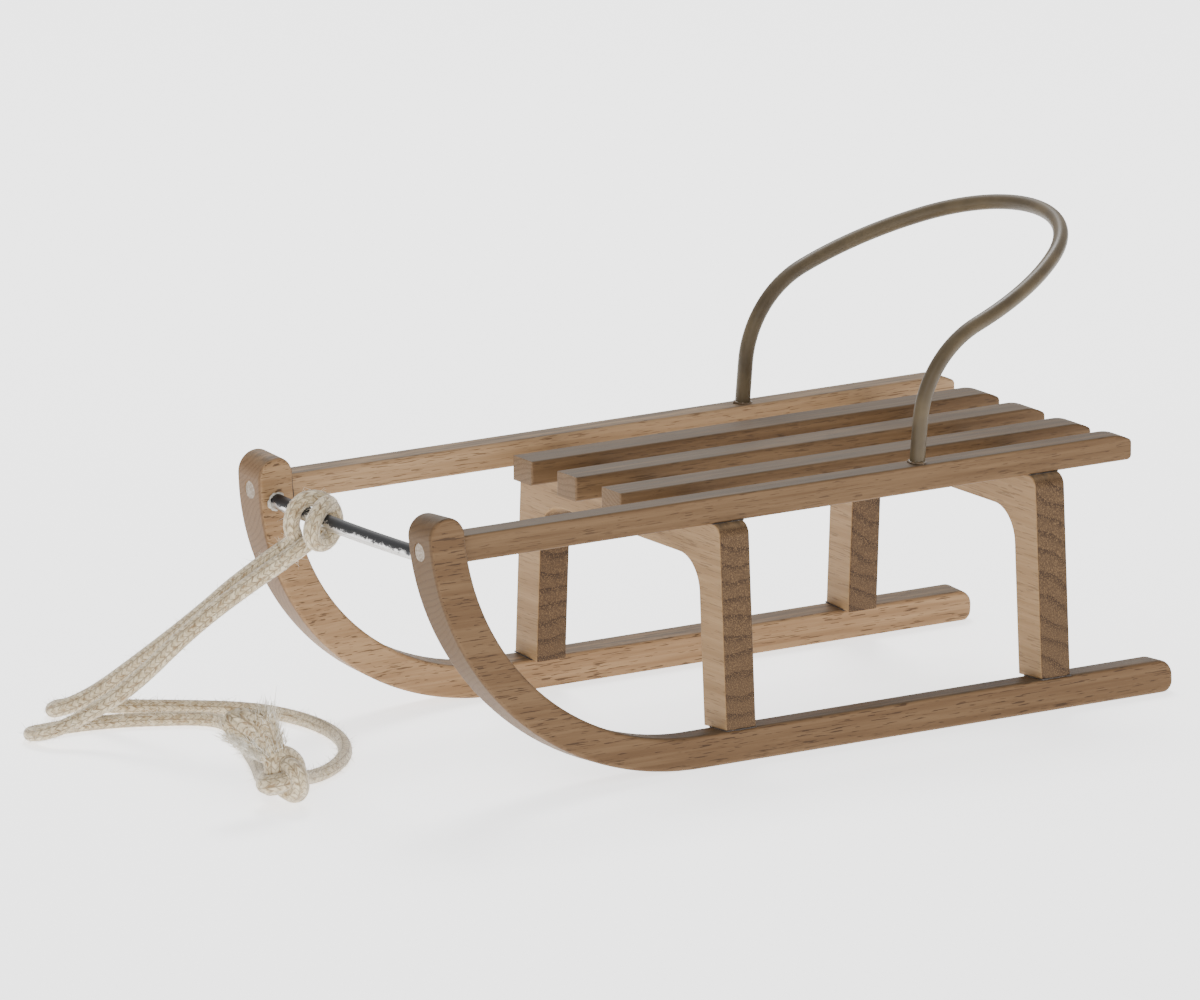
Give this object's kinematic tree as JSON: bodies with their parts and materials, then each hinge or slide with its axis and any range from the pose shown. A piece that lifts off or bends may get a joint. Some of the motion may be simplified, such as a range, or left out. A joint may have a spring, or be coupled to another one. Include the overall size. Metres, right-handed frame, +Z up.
{
  "type": "toy sledge",
  "caption": "Small wooden sledge with upswept runners, arched trestles, a slatted seat, a bent back hoop, a steel pull bar and a knotted cotton pull cord.",
  "frame": {"origin": "on the floor, midway between the tails and the noses of the runners, on the sledge's centre line", "axes": "+X is the direction of travel, +Y is the sledge's left side, +Z is up"},
  "size_m": [0.209, 0.1068, 0.0925],
  "materials": {
    "runner_beech": "sanded beech, fine ray flecks",
    "trestle_beech": "sanded beech, end grain on the legs",
    "seat_beech": "sanded beech, satin",
    "pin_wood": "pale dowel end",
    "hoop_paint": "semi-gloss brown coating",
    "bar_steel": "bare drawn wire, dark streaks",
    "cord_cotton": "knitted cotton, cream with tan flecks"
  },
  "bodies": {
    "root": {"runner_left": "runner_beech", "runner_right": "runner_beech", "front_trestle": "trestle_beech", "rear_trestle": "trestle_beech", "seat_rail_left": "seat_beech", "seat_rail_right": "seat_beech", "seat_slat_left": "seat_beech", "seat_slat_middle": "seat_beech", "seat_slat_right": "seat_beech", "horn_pin_left": "pin_wood", "horn_pin_right": "pin_wood", "back_hoop": "hoop_paint", "pull_bar": "bar_steel", "cord_hitch": "cord_cotton", "cord_strand_long": "cord_cotton", "cord_strand_short": "cord_cotton", "cord_knot": "cord_cotton", "frayed_ends": "cord_cotton"}
  },
  "joints": []
}
